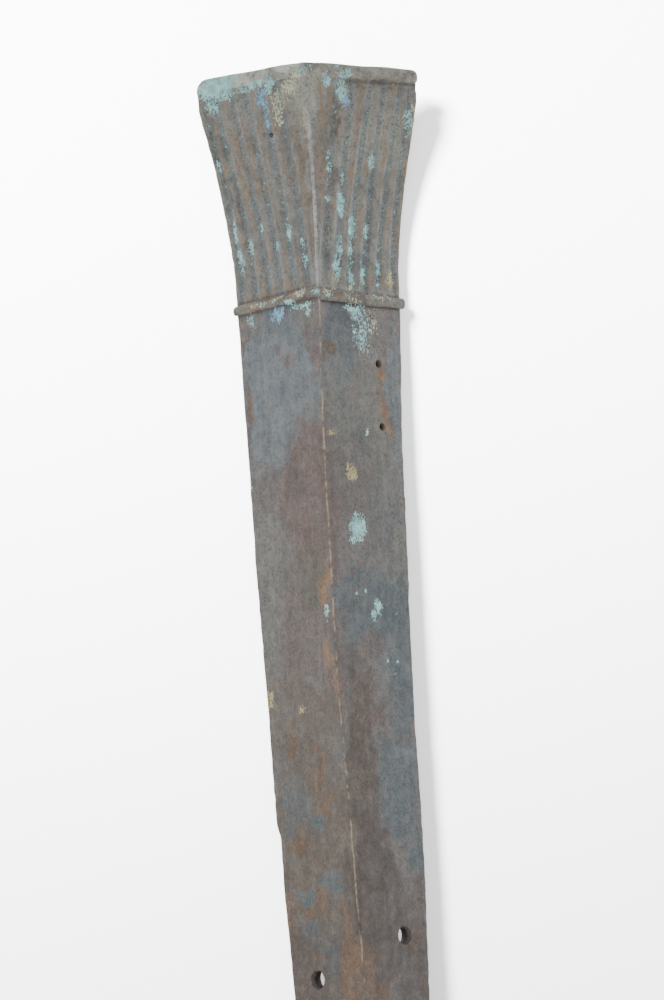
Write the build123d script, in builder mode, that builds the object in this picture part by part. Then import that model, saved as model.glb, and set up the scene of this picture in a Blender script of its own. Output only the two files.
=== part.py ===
from build123d import *
import math
import os

# The upper end of an old iron corner post casing, in millimetres.
#
# Two mirrored halves meet in a mitre along the front arris. Each half is a tapering shaft plate
# and a fluted, flared head panel, with a half-round bead over the joint between them and a roll
# along the top. Cleats and splices behind hold the halves together, so nothing shows in front.
#
# Frame: +Z runs up along the arris, the arris faces -Y, and the legs run back on both sides of
# the plane X = 0. The origin is the middle of the bottom of the bounding box.
# A place on a half is given by three distances: along its face from the arris, up from the foot,
# and inward from the outer face.

os.makedirs("parts", exist_ok=True)

# Driving dimensions
total_height = 914.0
wall = 11.0
leg_at_foot = 73.0  # arris to free edge
leg_at_neck = 96.6
head_leg_at_neck = 98.5  # the head's edges stand a little outside the shaft's
head_leg_at_rim = 101.5
square_angle = 45.0  # each face from the X axis, where the halves stand square to each other
rim_angle = 25.0  # the same at the rim, where the head has flared open

neck_joint = 718.0  # the head stands on the shaft here
flute_foot = 725.0
flare_start = 744.0
flare_end = 884.0
flute_head = 896.0
flare_power = 1.67  # above 1, so that the flare grows as it rises
flare_section_heights = (744.0, 765.0, 786.0, 807.0, 828.0, 849.0, 867.0, 884.0, 896.0)

flute_count = 6
first_flute_at_foot = 8.0  # arris to the middle of the nearest flute
first_flute_at_head = 27.0  # the flutes lean out as they rise
flute_pitch_at_foot = 16.3
flute_pitch_at_head = 13.6
flute_half_width = 4.4
flute_depth = 2.2

strip_shoulder = 1.2  # the strips that fill the arris meet the faces this far behind it
groove_depth = 4.0  # of the V groove that holds them
nose_relief = 0.05  # a strip's rounded nose stays this far inside the two faces

bead_height = 8.5
bead_proud = 4.0
bead_middle = 720.25
bead_overrun = 3.0  # past the free edge

rim_height = 13.0
rim_proud = 4.5
rim_middle = total_height - rim_height / 2
rim_overrun = 1.5

bolt_bore = 14.6
bolt_reach = 51.0
left_bolt_height = 168.5
right_bolt_height = 199.5
screw_bore = 6.0
screw_bore_reach = 64.8
screw_bore_heights = (613.5, 666.0)
pin_bore = 4.0
pin_bore_reach = 37.0
pin_bore_height = 858.0

cleat_leg = 34.0
cleat_thickness = 5.0
cleat_length = 60.0
cleat_feet = {"lower_corner_cleat": 60.0, "middle_corner_cleat": 330.0, "upper_corner_cleat": 585.0}
head_cleat_leg = 28.0
head_cleat_heights = (786.0, 807.0, 828.0, 849.0)
head_cleat_gap = 0.3  # the twisted faces don't meet exactly

splice_thickness = 6.0
splice_width = 60.0
splice_length = 52.0
splice_reach = 56.0  # arris to the middle of the splice

screw_shank = 6.0
screw_head = 11.0
screw_head_depth = 2.5
screw_bite = 6.0  # into the casting
screw_clearance = 0.1  # on the radius
cleat_screw_reach = 30.0
cleat_screw_rise = 18.0  # each side of a cleat's middle
head_screw_reach = 22.0
head_screw_heights = (800.0, 835.0)
head_screw_sink = 0.6  # the head face leans, so these heads sit a little deeper
splice_screw_offset = 20.0
splice_screw_rise = 16.0

pin_shank = 3.0
pin_clearance = 0.1
pin_reaches = (16.0, 51.0, 86.0)
bead_pin_height = 721.5
bead_pin_bite = 2.5
rim_pin_bite = 2.8

# Worked out from those
square = math.radians(square_angle)
front_reach = bead_proud / math.cos(square)
back_reach = head_leg_at_neck * math.sin(square) + wall * math.cos(square)
arris_y = (front_reach - back_reach) / 2
inner_arris_y = arris_y + wall / math.cos(square)


def flare_share(height):
    """How far the head has opened at a height, from 0 at the neck to 1 at the rim."""
    return min(max((height - flare_start) / (flare_end - flare_start), 0.0), 1.0)


def face_angle(height):
    """The angle of each face from the X axis at a height, in degrees."""
    return square_angle - (square_angle - rim_angle) * flare_share(height) ** flare_power


def head_leg(height):
    """Arris to free edge of a head panel, at a height."""
    return head_leg_at_neck + (head_leg_at_rim - head_leg_at_neck) * flare_share(height)


def flute_middle(index, height):
    """Arris to the middle of a flute at a height. The flutes are straight and fan out."""
    share = (height - flute_foot) / (flute_head - flute_foot)
    foot = first_flute_at_foot + index * flute_pitch_at_foot
    head = first_flute_at_head + index * flute_pitch_at_head
    return foot + (head - foot) * share


def left_face(angle=square_angle, depth=0.0):
    """The left half's outer face, or one parallel to it: x along it, y up, z inward."""
    turn = math.radians(angle)
    along = (-math.cos(turn), math.sin(turn), 0)
    inward = (math.sin(turn), math.cos(turn), 0)
    return Plane(origin=(0, arris_y, 0), x_dir=along, z_dir=inward).offset(depth)


def right_face():
    """The right half's outer face: x along it, y up, z outward."""
    along = (math.cos(square), math.sin(square), 0)
    outward = (math.sin(square), -math.cos(square), 0)
    return Plane(origin=(0, arris_y, 0), x_dir=along, z_dir=outward)


def on_left(along, inward, angle=square_angle):
    """The X and Y of a place on the left half."""
    turn = math.radians(angle)
    x = inward * math.sin(turn) - along * math.cos(turn)
    y = inward * math.cos(turn) + along * math.sin(turn) + arris_y
    return (x, y)


def draw_head_section(height, fluted):
    """One level section of the left head panel, for the sketch that is open."""
    angle = face_angle(height)
    leg = head_leg(height)
    turn = math.radians(angle)
    start = on_left(strip_shoulder / math.sin(turn), 0, angle)
    with BuildLine() as outline:
        Line((0, arris_y + groove_depth), start)
        if fluted:
            for index in range(flute_count):
                middle = flute_middle(index, height)
                near = on_left(middle - flute_half_width, 0, angle)
                deepest = on_left(middle, flute_depth, angle)
                far = on_left(middle + flute_half_width, 0, angle)
                Line(start, near)
                ThreePointArc(near, deepest, far)
                start = far
        Polyline(
            start,
            on_left(leg, 0, angle),
            on_left(leg, wall, angle),
            on_left(wall * math.tan(turn), wall, angle),
            (0, arris_y + groove_depth),
        )
    make_face(outline.edges())


def draw_strip_section(height):
    """One level section of the strip that fills the arris: a wedge with a rounded nose."""
    turn = math.radians(face_angle(height))
    half = strip_shoulder / math.tan(turn)
    radius = half / math.sin(turn)  # of an arc that leaves both faces smoothly
    nose = strip_shoulder - radius * (1 - math.cos(turn)) + nose_relief
    left_edge = (-half, arris_y + strip_shoulder)
    right_edge = (half, arris_y + strip_shoulder)
    with BuildLine() as outline:
        ThreePointArc(left_edge, (0, arris_y + nose), right_edge)
        Polyline(right_edge, (0, arris_y + groove_depth), left_edge)
    make_face(outline.edges())


def draw_half_round(height, proud):
    """A half-round profile, flat on the face behind it, for the sketch that is open."""
    with BuildLine() as outline:
        ThreePointArc((0, -height / 2), (proud, 0), (0, height / 2))
        Line((0, height / 2), (0, -height / 2))
    make_face(outline.edges())


def half_round_plane(along, middle, angle):
    """A plane across the left face: x outward, y up, z along the face."""
    turn = math.radians(angle)
    x, y = on_left(along, 0, angle)
    outward = (-math.sin(turn), -math.cos(turn), 0)
    return Plane(origin=(x, y, middle), x_dir=outward, z_dir=(-math.cos(turn), math.sin(turn), 0))


def add_half_round(height, proud, middle, length, angle):
    """A half-round bar along the left face, mitred at the arris and rounded at its free end."""
    lead = 2 * proud
    with BuildSketch(half_round_plane(-lead, middle, angle)) as bar:
        draw_half_round(height, proud)
    extrude(bar.sketch, amount=lead + length)
    split(bisect_by=Plane.YZ, keep=Keep.BOTTOM)
    end = half_round_plane(length, middle, angle)
    with BuildSketch(end) as tip:
        draw_half_round(height, proud)
    revolve(tip.sketch, axis=Axis(end.origin, (0, 0, -1)), revolution_arc=90)


def cut_bores(plane, places, diameter, amount):
    """Round holes from a plane, for the part that is open."""
    with BuildSketch(plane) as bores:
        with Locations(*places):
            Circle(diameter / 2)
    extrude(bores.sketch, amount=amount, mode=Mode.SUBTRACT)


def add_screws(back, places, length):
    """Countersunk screws, their heads flush with the plane behind, for the part that is open."""
    with Locations(*[back.location * Pos(*place) for place in places]):
        Cylinder(screw_shank / 2, length, align=top_aligned)
        Cone(screw_shank / 2, screw_head / 2, screw_head_depth, align=top_aligned)


def cut_countersinks(back, places, length):
    """Countersunk holes for those screws, from the plane behind, for the part that is open."""
    with Locations(*[back.location * Pos(*place) for place in places]):
        Cylinder(screw_hole / 2, length, align=top_aligned, mode=Mode.SUBTRACT)
        Cone(screw_hole / 2, screw_sink / 2, screw_head_depth, align=top_aligned, mode=Mode.SUBTRACT)


def add_pins(face, places, bite):
    """Round pins from a bite in front of the face to the back of the wall, for the open part."""
    with Locations(*[face.offset(wall).location * Pos(*place) for place in places]):
        Cylinder(pin_shank / 2, wall + bite, align=top_aligned)


top_aligned = (Align.CENTER, Align.CENTER, Align.MAX)  # the top of a shape on its plane
screw_hole = screw_shank + 2 * screw_clearance
screw_sink = screw_head + 2 * screw_clearance
pin_hole = pin_shank + 2 * pin_clearance

cleat_screw_heights = [
    foot + cleat_length / 2 + side * cleat_screw_rise
    for foot in cleat_feet.values()
    for side in (-1, 1)
]
cleat_screw_places = [(cleat_screw_reach, height) for height in cleat_screw_heights]
splice_screw_places = [
    (splice_reach + across * splice_screw_offset, neck_joint + up * splice_screw_rise)
    for across in (-1, 1)
    for up in (-1, 1)
]
shaft_splice_places = [place for place in splice_screw_places if place[1] < neck_joint]
head_splice_places = [place for place in splice_screw_places if place[1] > neck_joint]
bead_pin_places = [(reach, bead_pin_height) for reach in pin_reaches]
rim_pin_places = [(reach, rim_middle) for reach in pin_reaches]


# Shaft plates: flat tapering castings, mitred along the arris
with BuildPart() as plain_shaft_plate:
    with BuildSketch(left_face()):
        with BuildLine():
            Polyline(
                (0, 0), (leg_at_foot, 0), (leg_at_neck, neck_joint), (0, neck_joint), close=True
            )
        make_face()
    extrude(amount=wall)
    split(bisect_by=Plane.YZ, keep=Keep.BOTTOM)
    with BuildSketch(Plane.XY):
        with BuildLine():
            Polyline(
                (0, arris_y),
                on_left(strip_shoulder / math.sin(square), 0),
                (0, arris_y + groove_depth),
                close=True,
            )
        make_face()
    extrude(amount=neck_joint, mode=Mode.SUBTRACT)
    cut_bores(left_face(depth=wall), cleat_screw_places, screw_hole, -screw_bite)
    cut_bores(left_face(depth=wall), shaft_splice_places, screw_hole, -screw_bite)

with BuildPart() as left_shaft_plate:
    add(plain_shaft_plate.part)
    cut_bores(left_face(), [(bolt_reach, left_bolt_height)], bolt_bore, wall)

with BuildPart() as right_shaft_plate:
    mirror(plain_shaft_plate.part, about=Plane.YZ)
    cut_bores(right_face(), [(bolt_reach, right_bolt_height)], bolt_bore, -wall)
    screw_places = [(screw_bore_reach, height) for height in screw_bore_heights]
    cut_bores(right_face(), screw_places, screw_bore, -wall)


# Head panels: fluted and flared open, plain at the foot and behind the rim
with BuildPart() as plain_head_panel:
    with BuildSketch(Plane.XY.offset(neck_joint)):
        draw_head_section(neck_joint, fluted=False)
    extrude(amount=flute_foot - neck_joint)
    with BuildSketch(Plane.XY.offset(flute_foot)):
        draw_head_section(flute_foot, fluted=True)
    extrude(amount=flare_start - flute_foot)
    with BuildSketch(Plane.XY.offset(flute_head)):
        draw_head_section(flute_head, fluted=False)
    extrude(amount=total_height - flute_head)
    for height in flare_section_heights:
        with BuildSketch(Plane.XY.offset(height)):
            draw_head_section(height, fluted=True)
    loft(ruled=True)
    cut_bores(left_face(depth=wall), head_splice_places, screw_hole, -screw_bite)
    cut_bores(left_face(), bead_pin_places, pin_hole, wall)
    cut_bores(left_face(rim_angle), rim_pin_places, pin_hole, wall)
    for height in head_screw_heights:
        cleat_seat = left_face(face_angle(height), wall + 1)
        cut_bores(cleat_seat, [(head_screw_reach, height)], screw_hole, -screw_bite - 1)

with BuildPart() as left_head_panel:
    add(plain_head_panel.part)
    with BuildSketch(left_face(face_angle(pin_bore_height), wall / 2)):
        with Locations((pin_bore_reach, pin_bore_height)):
            Circle(pin_bore / 2)
    extrude(amount=wall, both=True, mode=Mode.SUBTRACT)

with BuildPart() as right_head_panel:
    mirror(plain_head_panel.part, about=Plane.YZ)


# Neck beads: half-round bars that hide the joint between shaft and head
bead_length = head_leg_at_neck + bead_overrun - bead_proud
with BuildPart() as left_neck_bead:
    add_half_round(bead_height, bead_proud, bead_middle, bead_length, square_angle)
    cut_bores(left_face(), bead_pin_places, pin_hole, -bead_pin_bite - pin_clearance)

with BuildPart() as right_neck_bead:
    mirror(left_neck_bead.part, about=Plane.YZ)


# Rim rolls: the same along the top of the head
rim_length = head_leg_at_rim + rim_overrun - rim_proud
with BuildPart() as left_rim_roll:
    add_half_round(rim_height, rim_proud, rim_middle, rim_length, rim_angle)
    cut_bores(left_face(rim_angle), rim_pin_places, pin_hole, -rim_pin_bite - pin_clearance)

with BuildPart() as right_rim_roll:
    mirror(left_rim_roll.part, about=Plane.YZ)


# Strips that fill the mitre along the arris
with BuildPart() as shaft_arris_seam:
    with BuildSketch(Plane.XY):
        draw_strip_section(0)
    extrude(amount=neck_joint)

with BuildPart() as head_arris_rib:
    for height in (neck_joint, *flare_section_heights, total_height):
        with BuildSketch(Plane.XY.offset(height)):
            draw_strip_section(height)
    loft(ruled=True)


# Corner cleats: short angles inside the arris
cleats = []
for name, foot in cleat_feet.items():
    middle = foot + cleat_length / 2
    screw_heights = (middle - cleat_screw_rise, middle + cleat_screw_rise)
    places = [(cleat_screw_reach, height) for height in screw_heights]
    with BuildPart() as cleat:
        with BuildSketch(Plane.XY.offset(foot)):
            with BuildLine():
                Polyline(
                    (0, inner_arris_y),
                    on_left(wall + cleat_leg, wall),
                    on_left(wall + cleat_leg, wall + cleat_thickness),
                    (0, inner_arris_y + cleat_thickness / math.cos(square)),
                    close=True,
                )
            make_face()
        extrude(amount=cleat_length)
        cut_countersinks(left_face(depth=wall + cleat_thickness), places, cleat_thickness)
        mirror(about=Plane.YZ)
    cleat.part.label = name
    cleats.append(cleat.part)

with BuildPart() as head_corner_cleat:
    for height in head_cleat_heights:
        angle = face_angle(height)
        seat = wall + head_cleat_gap
        back = seat + cleat_thickness
        tangent = math.tan(math.radians(angle))
        with BuildSketch(Plane.XY.offset(height)):
            with BuildLine():
                Polyline(
                    on_left(seat * tangent, seat, angle),
                    on_left(seat * tangent + head_cleat_leg, seat, angle),
                    on_left(seat * tangent + head_cleat_leg, back, angle),
                    on_left(back * tangent, back, angle),
                    close=True,
                )
            make_face()
    loft(ruled=True)
    for height in head_screw_heights:
        depth = wall + head_cleat_gap + cleat_thickness - head_screw_sink
        back = left_face(face_angle(height), depth)
        place = (head_screw_reach, height)
        cut_countersinks(back, [place], cleat_thickness)
        cut_bores(back, [place], screw_sink, 2 * head_screw_sink)
    mirror(about=Plane.YZ)


# Neck splices: flat bars behind the joint between shaft and head
with BuildPart() as left_neck_splice:
    with BuildSketch(left_face(depth=wall)):
        with Locations((splice_reach, neck_joint)):
            Rectangle(splice_width, splice_length)
    extrude(amount=splice_thickness)
    cut_countersinks(left_face(depth=wall + splice_thickness), splice_screw_places, splice_thickness)

with BuildPart() as right_neck_splice:
    mirror(left_neck_splice.part, about=Plane.YZ)


# Fasteners, all put in from behind
cleat_screw_length = cleat_thickness + screw_bite - screw_clearance
with BuildPart() as cleat_screws:
    add_screws(left_face(depth=wall + cleat_thickness), cleat_screw_places, cleat_screw_length)
    for height in head_screw_heights:
        depth = wall + head_cleat_gap + cleat_thickness - head_screw_sink
        back = left_face(face_angle(height), depth)
        add_screws(back, [(head_screw_reach, height)], cleat_screw_length - head_screw_sink)
    mirror(about=Plane.YZ)

with BuildPart() as splice_screws:
    back = left_face(depth=wall + splice_thickness)
    add_screws(back, splice_screw_places, splice_thickness + screw_bite - screw_clearance)
    mirror(about=Plane.YZ)

with BuildPart() as bead_pins:
    add_pins(left_face(), bead_pin_places, bead_pin_bite)
    mirror(about=Plane.YZ)

with BuildPart() as rim_pins:
    add_pins(left_face(rim_angle), rim_pin_places, rim_pin_bite)
    mirror(about=Plane.YZ)


# Labels and files
left_shaft_plate.part.label = "left_shaft_plate"
right_shaft_plate.part.label = "right_shaft_plate"
left_head_panel.part.label = "left_head_panel"
right_head_panel.part.label = "right_head_panel"
left_neck_bead.part.label = "left_neck_bead"
right_neck_bead.part.label = "right_neck_bead"
left_rim_roll.part.label = "left_rim_roll"
right_rim_roll.part.label = "right_rim_roll"
shaft_arris_seam.part.label = "shaft_arris_seam"
head_arris_rib.part.label = "head_arris_rib"
head_corner_cleat.part.label = "head_corner_cleat"
left_neck_splice.part.label = "left_neck_splice"
right_neck_splice.part.label = "right_neck_splice"
cleat_screws.part.label = "cleat_screws"
splice_screws.part.label = "splice_screws"
bead_pins.part.label = "bead_pins"
rim_pins.part.label = "rim_pins"

finished = [
    left_shaft_plate.part,
    right_shaft_plate.part,
    left_head_panel.part,
    right_head_panel.part,
    left_neck_bead.part,
    right_neck_bead.part,
    left_rim_roll.part,
    right_rim_roll.part,
    shaft_arris_seam.part,
    head_arris_rib.part,
    head_corner_cleat.part,
    left_neck_splice.part,
    right_neck_splice.part,
    cleat_screws.part,
    splice_screws.part,
    bead_pins.part,
    rim_pins.part,
    *cleats,
]
for piece in finished:
    export_step(piece, f"parts/{piece.label}.step")

print("arris at Y", round(arris_y, 3), "inner arris at Y", round(inner_arris_y, 3))
whole = Compound(children=finished).bounding_box()
print("whole box", whole.min, whole.max)
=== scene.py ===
# %% [markdown]
# # A cast iron corner casing
# The real object is the upper end of an old iron casing that covered the corner of a post. Two
# tapering plates meet in a sharp arris, and above a half-round bead they carry a fluted head that
# flares open to a rolled rim. It is rusty, with the remains of blue-grey and turquoise paint.
# The CAD model holds its sizes. This script builds the visible skins around that model, rougher
# and less straight than the drawing, as an old sand casting is, and leaves the fasteners and
# the cleats behind as they are, with rusty materials of their own.

# %% Load the frame
import math

import bpy
import numpy as np
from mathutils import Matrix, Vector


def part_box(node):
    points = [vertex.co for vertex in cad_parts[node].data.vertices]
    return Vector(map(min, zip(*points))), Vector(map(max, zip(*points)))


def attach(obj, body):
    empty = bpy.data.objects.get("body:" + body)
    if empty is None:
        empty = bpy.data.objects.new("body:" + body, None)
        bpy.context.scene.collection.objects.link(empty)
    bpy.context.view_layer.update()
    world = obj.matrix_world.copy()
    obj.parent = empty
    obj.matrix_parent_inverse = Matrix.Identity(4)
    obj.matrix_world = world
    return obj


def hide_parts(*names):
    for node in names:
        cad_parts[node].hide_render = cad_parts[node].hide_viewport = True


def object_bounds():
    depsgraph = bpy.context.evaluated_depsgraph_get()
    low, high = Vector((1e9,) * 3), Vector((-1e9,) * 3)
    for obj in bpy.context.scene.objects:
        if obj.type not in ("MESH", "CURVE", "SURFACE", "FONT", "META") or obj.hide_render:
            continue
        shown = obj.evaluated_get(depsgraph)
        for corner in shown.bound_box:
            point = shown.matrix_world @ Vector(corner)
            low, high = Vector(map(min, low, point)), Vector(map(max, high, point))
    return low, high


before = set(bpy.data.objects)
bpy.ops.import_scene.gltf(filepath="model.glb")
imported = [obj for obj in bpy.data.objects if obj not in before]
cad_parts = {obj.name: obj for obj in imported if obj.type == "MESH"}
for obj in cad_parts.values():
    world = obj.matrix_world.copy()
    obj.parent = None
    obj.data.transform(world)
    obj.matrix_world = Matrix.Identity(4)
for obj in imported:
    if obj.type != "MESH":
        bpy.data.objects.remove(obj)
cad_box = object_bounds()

print("CAD box", [round(value, 4) for corner in cad_box for value in corner])

# %% [markdown]
# ## Sizes from the frame
# Everything below is worked out in millimetres and turned to metres when a mesh is made. The
# plate's box gives the arris, the legs and the wall, because its faces stand at 45 degrees. The
# head opens from 45 to 25 degrees, slowly at first, so its angle is a power of the height.

# %% Driving sizes
square = math.radians(45)
rim_turn = math.radians(25)
shoulder = 1.2  # the strip along the arris meets the faces this far behind it
groove_depth = 4.0  # of the V groove that holds the strip
flare_foot = 744.0
flare_top = 884.0
flare_power = 1.67

plate_low, plate_high = (np.array(corner) * 1000 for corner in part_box("left_shaft_plate"))
arris_y = plate_low[1] - shoulder
neck = plate_high[2]
neck_leg = -plate_low[0] / math.cos(square)
wall = (plate_high[1] - arris_y) / math.sin(square) - neck_leg
top = cad_box[1].z * 1000
print("arris y", round(arris_y, 2), "neck", neck, "leg", round(neck_leg, 2), "wall", round(wall, 2))


def face_angle(z):
    """45 degrees up to the flare, then down to 25 by a power of the share of the flare climbed."""
    share = np.clip((z - flare_foot) / (flare_top - flare_foot), 0, 1)
    return square - (square - rim_turn) * share**flare_power


def place(side, along, inward, z):
    """A point on one half, from its distance along the face and in from it. Side is -1 or 1."""
    turn = face_angle(z)
    x = side * (along * np.cos(turn) - inward * np.sin(turn))
    y = arris_y + along * np.sin(turn) + inward * np.cos(turn)
    return np.stack(np.broadcast_arrays(x, y, z), -1)


# %% [markdown]
# ## The lines of a worn casting
# An old casting isn't straight: it has bowed a little to one side, its arris wanders and its
# edges are nibbled by rust. Each line is a short list of heights and distances, joined by
# straight runs, whose corners a moving average takes off.

# %% Wandering lines
smoothing = np.linspace(-14, 14, 9)


def line(z, heights, values):
    """Straight runs through the listed points, averaged over a window that rounds the corners."""
    return np.mean([np.interp(z + step, heights, values) for step in smoothing], axis=0)


def arris_drift(z):
    """How far the arris stands to the right of the middle plane."""
    heights = (0, 120, 160, 220, 260, 300, 340, 400, 440, 500, 600, 660, 700, 730, 780, 830, 870)
    drift = (0, 1.0, 1.4, 0, -1.1, -1.8, -2.8, -4.8, -4.6, -4.2, -3.5, -2.1, 0, -0.6, 1.0, 1.3, 0.3)
    return line(z, heights, drift)


def left_edge(z):
    """Arris to free edge of the left half."""
    heights = (0, 160, 200, 240, 284, 294, 340, 380, 450, 500, 600, 700, 740, 800, 840, 870, 900)
    legs = (73, 80, 82, 84.5, 85, 88.4, 90, 90.2, 93, 94.8, 96, 98, 99.5, 99, 98.2, 99.3, 100.8)
    return np.interp(z, heights, legs)


def right_edge(z):
    """Arris to free edge of the right half."""
    heights = (0, 160, 200, 220, 260, 300, 360, 400, 474, 482, 560, 600, 650, 700, 760, 880, 900)
    legs = (73, 76.5, 78.5, 79.5, 80.8, 81.3, 80.5, 81.5, 83, 84.2, 86.5, 87.6, 91, 95, 98, 102, 102.3)
    return np.interp(z, heights, legs)


edges = {-1: left_edge, 1: right_edge}
print("legs at the neck", left_edge(neck), right_edge(neck))

# %% [markdown]
# ## Uneven surfaces
# Rust and sand leave marks of every size and none repeats, so they come from noise: random values
# on a grid, joined smoothly. A seed gives each use its own values, the same in every run.

# %% Noise
def noise(u, v, cell, seed):
    """Smooth bumps from -1 to 1: random values at the corners of square cells, joined by the
    curve 3t^2 - 2t^3 along both coordinates."""
    table = np.random.default_rng(seed).uniform(-1, 1, (256, 256))
    column, row = np.floor(u / cell).astype(int), np.floor(v / cell).astype(int)
    across, up = u / cell - column, v / cell - row
    across, up = across**2 * (3 - 2 * across), up**2 * (3 - 2 * up)
    left, right = column % 256, (column + 1) % 256
    below, above = row % 256, (row + 1) % 256
    low = table[left, below] * (1 - across) + table[right, below] * across
    high = table[left, above] * (1 - across) + table[right, above] * across
    return low * (1 - up) + high * up


def ease(value, start, stop):
    """0 before start, 1 after stop, and 3t^2 - 2t^3 between them."""
    share = np.clip((value - start) / (stop - start), 0, 1)
    return share**2 * (3 - 2 * share)


def wander(u, cell, seed):
    """Noise along one line."""
    return noise(u, 0 * u, cell, seed)


def bell(distance, width):
    """exp(-(distance/width)^2), which is 1 on a line and fades on both sides of it."""
    return np.exp(-((distance / width) ** 2))


def cast_skin(u, v, seed):
    """The skin of a rusty sand casting: shallow waves, blisters and small pits, in millimetres."""
    waves = 0.22 * noise(u, v, 34, seed) + 0.12 * noise(u, v, 11, seed + 1)
    blisters = 0.10 * noise(u, v, 4.6, seed + 2)
    pits = 0.30 * np.clip(noise(u, v, 3.1, seed + 3) - 0.45, 0, 1)
    return waves + blisters + pits


# %% [markdown]
# ## From grids to meshes
# Each piece is a closed loop of points repeated at many heights or stations. Neighbouring loops
# are joined by squares, and the first and last loops are closed by one flat face each. If the
# volume comes out negative, the faces point inwards and all of them are turned round.

# %% Mesh makers
def finish_mesh(piece):
    """Shades a mesh smooth, with its true corners kept sharp."""
    mesh = piece.data
    mesh.polygons.foreach_set("use_smooth", np.ones(len(mesh.polygons), bool))
    mesh.set_sharp_from_angle(angle=math.radians(50))
    mesh.calc_loop_triangles()
    print(piece.name, "has", len(mesh.loop_triangles), "triangles")


def make_piece(name, rows):
    """A mesh in metres from loops in millimetres, an array of (loops, points in a loop, 3)."""
    loops, size = rows.shape[:2]
    start = np.arange(loops - 1)[:, None] * size
    here = np.arange(size)
    after = (here + 1) % size
    squares = [start + here, start + after, start + size + after, start + size + here]
    faces = np.stack(squares, -1).reshape(-1, 4).tolist()
    faces += [here[::-1].tolist(), (here + (loops - 1) * size).tolist()]
    mesh = bpy.data.meshes.new(name)
    points = rows.reshape(-1, 3) / 1000
    mesh.from_pydata(points.tolist(), [], faces)
    mesh.calc_loop_triangles()
    corners = np.zeros(len(mesh.loop_triangles) * 3, np.int32)
    mesh.loop_triangles.foreach_get("vertices", corners)
    a, b, c = (points[corners[k::3]] for k in range(3))
    if np.einsum("ij,ij->", a, np.cross(b, c)) < 0:
        mesh.flip_normals()
    piece = bpy.data.objects.new(name, mesh)
    bpy.context.scene.collection.objects.link(piece)
    finish_mesh(piece)
    return piece


# %% [markdown]
# ## One half of the casing
# A level section of a half is a closed loop: along the outer skin from the arris to the free
# edge, round the worn corner, across the end, back along the inner face, and home over the mitre
# and the groove that holds the arris strip. The same loop serves the shaft and the head. Only
# the relief of the skin differs, so it comes in as a function.

# %% Level sections
outer_corner = 1.8  # radii of the worn corners along the free edge
inner_corner = 2.2
quarter = np.linspace(0, math.pi / 2, 7)[1:]


def end_wear(z, end, radius):
    """How far both faces draw in near an end, so that its edges are quarter rounds."""
    short = np.clip(radius - np.abs(end - z), 0, radius)
    return radius - np.sqrt(radius**2 - short**2)


def mean_skin(side, along, z):
    """The outer face before its relief: straight from the wandering arris to the free edge.
    Returns how far it lies inward of the drawn face."""
    turn = face_angle(z)
    start = side * arris_drift(z) * np.cos(turn)
    proud = -side * arris_drift(z) * np.sin(turn)
    return proud * np.clip((edges[side](z) - along) / (edges[side](z) - start), 0, 1)


def lip(side, z):
    """Arris to the edge of the groove, along the face."""
    turn = face_angle(z)
    return side * arris_drift(z) * np.cos(turn) + shoulder / np.sin(turn)


def groove_root(side, z):
    """The bottom of the groove as distances along and inward. It lies on the slanted mitre."""
    turn = face_angle(z)
    x = side * arris_drift(z) * (1 - groove_depth * np.cos(turn) / wall)
    along = x * np.cos(turn) + groove_depth * np.sin(turn)
    return along, groove_depth * np.cos(turn) - x * np.sin(turn)


# %% Level loops
def half_section(side, z, skin_points, relief, wear, edge):
    """Closed level loops of one half, as arrays of distances along and inward."""
    z = z[:, None]
    wear = wear[:, None]
    edge = edge[:, None] - wear
    first, last = lip(side, z), edge - outer_corner
    along = first + (last - first) * np.linspace(0, 1, skin_points)
    skin = mean_skin(side, along, z) + relief(side, along, z) + wear
    corner = skin[:, -1:] + outer_corner
    back = wall - wear
    end = np.linspace(corner, back - inner_corner, 5)[1:-1, :, 0].T
    inner_arris = wall * np.tan(face_angle(z))
    inner = edge - inner_corner + (inner_arris - edge + inner_corner) * np.linspace(0, 1, 24)[1:]
    root_along, root_inward = groove_root(side, z)
    home = np.linspace(0, 1, 4)[1:]
    alongs = [
        along,
        edge - outer_corner + outer_corner * np.sin(quarter),
        edge + 0 * end,
        edge - inner_corner + inner_corner * np.cos(quarter),
        inner,
        inner_arris + (root_along - inner_arris) * home,
        (root_along + first) / 2,
    ]
    inwards = [
        skin,
        corner - outer_corner * np.cos(quarter),
        end,
        back - inner_corner + inner_corner * np.sin(quarter),
        back + 0 * inner,
        back + (root_inward - back) * home,
        (root_inward + skin[:, :1]) / 2,
    ]
    return np.concatenate(alongs, 1), np.concatenate(inwards, 1)


# %% [markdown]
# ## Shaft plates
# The plates are flat castings 11 mm thick. A grid step of about 1.2 mm is fine enough to carry the
# blisters and pits as real shape. The bolt and screw holes are cut afterwards, because a hole in a
# grid is awkward and a boolean cut is exact. Their mouths are worn a little wider than the bore.

# %% Shaft plates
def shaft_relief(side, along, z):
    return cast_skin(along, z, 10 + side)


shaft_z = np.concatenate([np.linspace(0, 1.2, 5)[:-1], np.linspace(1.2, neck, 590)])
shaft_plates = {}
for side, name in ((-1, "left_shaft_skin"), (1, "right_shaft_skin")):
    nibbled = edges[side](shaft_z) + 0.35 * wander(shaft_z, 7, 30 + side)
    wear = end_wear(shaft_z, 0, 1.2)
    along, inward = half_section(side, shaft_z, 82, shaft_relief, wear, nibbled)
    shaft_plates[side] = make_piece(name, place(side, along, inward, shaft_z[:, None]))


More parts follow.
